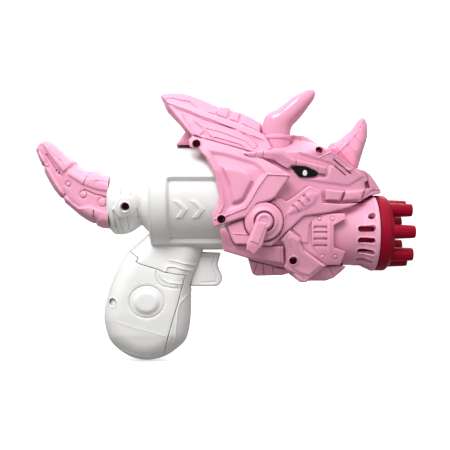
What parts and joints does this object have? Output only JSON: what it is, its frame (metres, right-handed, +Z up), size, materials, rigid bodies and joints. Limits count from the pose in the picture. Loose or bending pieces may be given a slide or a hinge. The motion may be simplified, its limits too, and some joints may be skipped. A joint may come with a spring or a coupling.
{
  "type": "bubble machine",
  "caption": "Hand-held bubble blower with a pistol grip, a horned dinosaur head, a geared rotating nozzle head, a trigger and a battery bay in the grip.",
  "frame": {"origin": "middle of the hand grip, on the toy's mid-plane", "axes": "+X towards the muzzle, +Y to the toy's left, +Z up with the barrel level"},
  "size_m": [0.2592, 0.088, 0.1848],
  "materials": {
    "white_shell": "white moulded ABS, fine satin",
    "pink_shell": "pink moulded ABS, satin",
    "horn_pink": "pink moulded, polished",
    "crimson_plastic": "crimson moulded, polished",
    "eye_black": "gloss black with a white highlight",
    "dark_plastic": "matte engineering plastic",
    "steel": "zinc-plated",
    "wire_cover": "soft insulation",
    "cell_jacket": "plain printed sleeve"
  },
  "bodies": {
    "root": {"battery_cells": "cell_jacket", "battery_tray": "dark_plastic", "body_shell_left": "white_shell", "body_shell_right": "white_shell", "brow_horn_left": "horn_pink", "brow_horn_right": "horn_pink", "brow_plate_left": "pink_shell", "brow_plate_right": "pink_shell", "cheek_plate_left": "pink_shell", "cheek_plate_right": "pink_shell", "chin_guard": "pink_shell", "contact_plates": "steel", "contact_springs": "steel", "crest": "pink_shell", "eye_left": "eye_black", "eye_right": "eye_black", "frill_plate_left": "pink_shell", "frill_plate_right": "pink_shell", "frill_wing_left": "pink_shell", "frill_wing_right": "pink_shell", "gear_plate": "dark_plastic", "head_shell_left": "pink_shell", "head_shell_right": "pink_shell", "horn_socket_left": "pink_shell", "horn_socket_right": "pink_shell", "idler_pin": "steel", "jaw_guard_left": "pink_shell", "jaw_guard_right": "pink_shell", "lever_boss_left": "pink_shell", "lever_boss_right": "pink_shell", "motor_can": "steel", "motor_lead": "wire_cover", "motor_mount": "dark_plastic", "muzzle_barrel": "pink_shell", "nose_horn": "horn_pink", "return_lead": "wire_cover", "shell_screws": "steel", "side_lever_left": "pink_shell", "side_lever_right": "pink_shell", "switch_lead": "wire_cover", "switch_leaf": "steel", "tail_half_left": "pink_shell", "tail_half_right": "pink_shell", "throat_cowl_left": "pink_shell", "throat_cowl_right": "pink_shell", "trigger_spring": "steel", "trigger_switch": "dark_plastic"},
    "nozzle_head": {"nozzle_drum": "crimson_plastic", "nozzle_ring": "crimson_plastic", "nozzle_tubes": "crimson_plastic"},
    "rotor": {"motor_shaft": "steel", "fan": "dark_plastic", "pinion": "dark_plastic"},
    "idler": {"idler_gear": "dark_plastic"},
    "trigger": {"trigger": "white_shell"},
    "battery_cover": {"battery_cover": "white_shell", "cover_screw": "steel"}
  },
  "joints": [
    {"name": "trigger_pull", "type": "slide", "parent": "root", "child": "trigger", "axis": [-1, 0, 0], "range_m": [0, 0.0045], "stiffness_N_per_m": 350, "springref_m": -0.003, "deforming": ["trigger_spring", "switch_leaf"]},
    {"name": "nozzle_spin", "type": "hinge", "parent": "root", "child": "nozzle_head", "pos_m": [0.16, 0, 0.0469], "axis": [1, 0, 0], "continuous": true},
    {"name": "idler_spin", "type": "hinge", "parent": "root", "child": "idler", "pos_m": [0.13, 0, 0.0569], "axis": [1, 0, 0], "continuous": true},
    {"name": "motor_spin", "type": "hinge", "parent": "root", "child": "rotor", "pos_m": [0.1, 0, 0.0469], "axis": [1, 0, 0], "continuous": true},
    {"name": "cover_lift", "type": "slide", "parent": "root", "child": "battery_cover", "axis": [0, -1, 0], "range_m": [0, 0.03]}
  ],
  "couplings": [
    {"joint": "idler_spin", "follows": "motor_spin", "ratio": -0.25},
    {"joint": "nozzle_spin", "follows": "motor_spin", "ratio": -0.041667}
  ]
}
